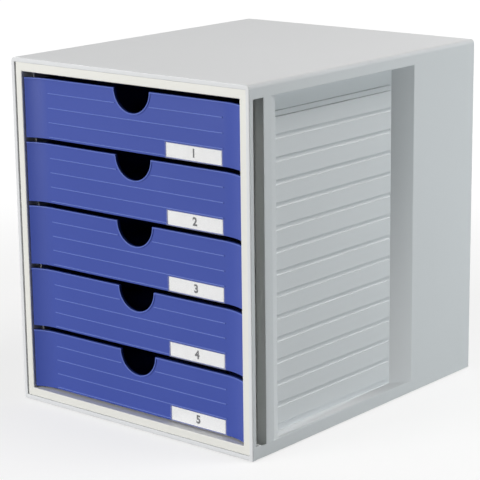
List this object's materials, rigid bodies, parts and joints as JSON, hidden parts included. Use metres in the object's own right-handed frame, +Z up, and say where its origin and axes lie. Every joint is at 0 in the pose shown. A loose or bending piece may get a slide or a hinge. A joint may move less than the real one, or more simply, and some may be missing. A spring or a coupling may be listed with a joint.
{
  "type": "desk drawer box",
  "caption": "Closed desk drawer box for letter-size paper: grey housing, cream front frame, blue sliding drawers with finger notches and labels, grooved recess in each side.",
  "frame": {"origin": "centre of the footprint, on the surface that the four feet stand on", "axes": "+X to the right seen from the front, +Y to the back, +Z up; the drawers open towards -Y"},
  "size_m": [0.275, 0.33, 0.32],
  "materials": {
    "housing_plastic": "light grey, fine moulded grain",
    "frame_plastic": "cream grey, satin",
    "drawer_plastic": "blue, satin to gloss",
    "label_paper": "white card",
    "label_clear": "thin clear plastic, gloss",
    "foot_rubber": "dark, matt"
  },
  "bodies": {
    "housing": {"housing_shell": "housing_plastic", "front_frame": "frame_plastic", "runner_panel_left": "housing_plastic", "runner_panel_right": "housing_plastic", "base_panel": "housing_plastic", "rear_panel": "housing_plastic", "foot_1": "foot_rubber", "foot_2": "foot_rubber", "foot_3": "foot_rubber", "foot_4": "foot_rubber"},
    "drawer_body_1": {"drawer_1": "drawer_plastic", "label_card_1": "label_paper", "label_window_1": "label_clear"},
    "drawer_body_2": {"drawer_2": "drawer_plastic", "label_card_2": "label_paper", "label_window_2": "label_clear"},
    "drawer_body_3": {"drawer_3": "drawer_plastic", "label_card_3": "label_paper", "label_window_3": "label_clear"},
    "drawer_body_4": {"drawer_4": "drawer_plastic", "label_card_4": "label_paper", "label_window_4": "label_clear"},
    "drawer_body_5": {"drawer_5": "drawer_plastic", "label_card_5": "label_paper", "label_window_5": "label_clear"}
  },
  "joints": [
    {"name": "drawer_1_slide", "type": "slide", "parent": "housing", "child": "drawer_body_1", "axis": [0, -1, 0], "range_m": [0, 0.24]},
    {"name": "drawer_2_slide", "type": "slide", "parent": "housing", "child": "drawer_body_2", "axis": [0, -1, 0], "range_m": [0, 0.24]},
    {"name": "drawer_3_slide", "type": "slide", "parent": "housing", "child": "drawer_body_3", "axis": [0, -1, 0], "range_m": [0, 0.24]},
    {"name": "drawer_4_slide", "type": "slide", "parent": "housing", "child": "drawer_body_4", "axis": [0, -1, 0], "range_m": [0, 0.24]},
    {"name": "drawer_5_slide", "type": "slide", "parent": "housing", "child": "drawer_body_5", "axis": [0, -1, 0], "range_m": [0, 0.24]}
  ]
}
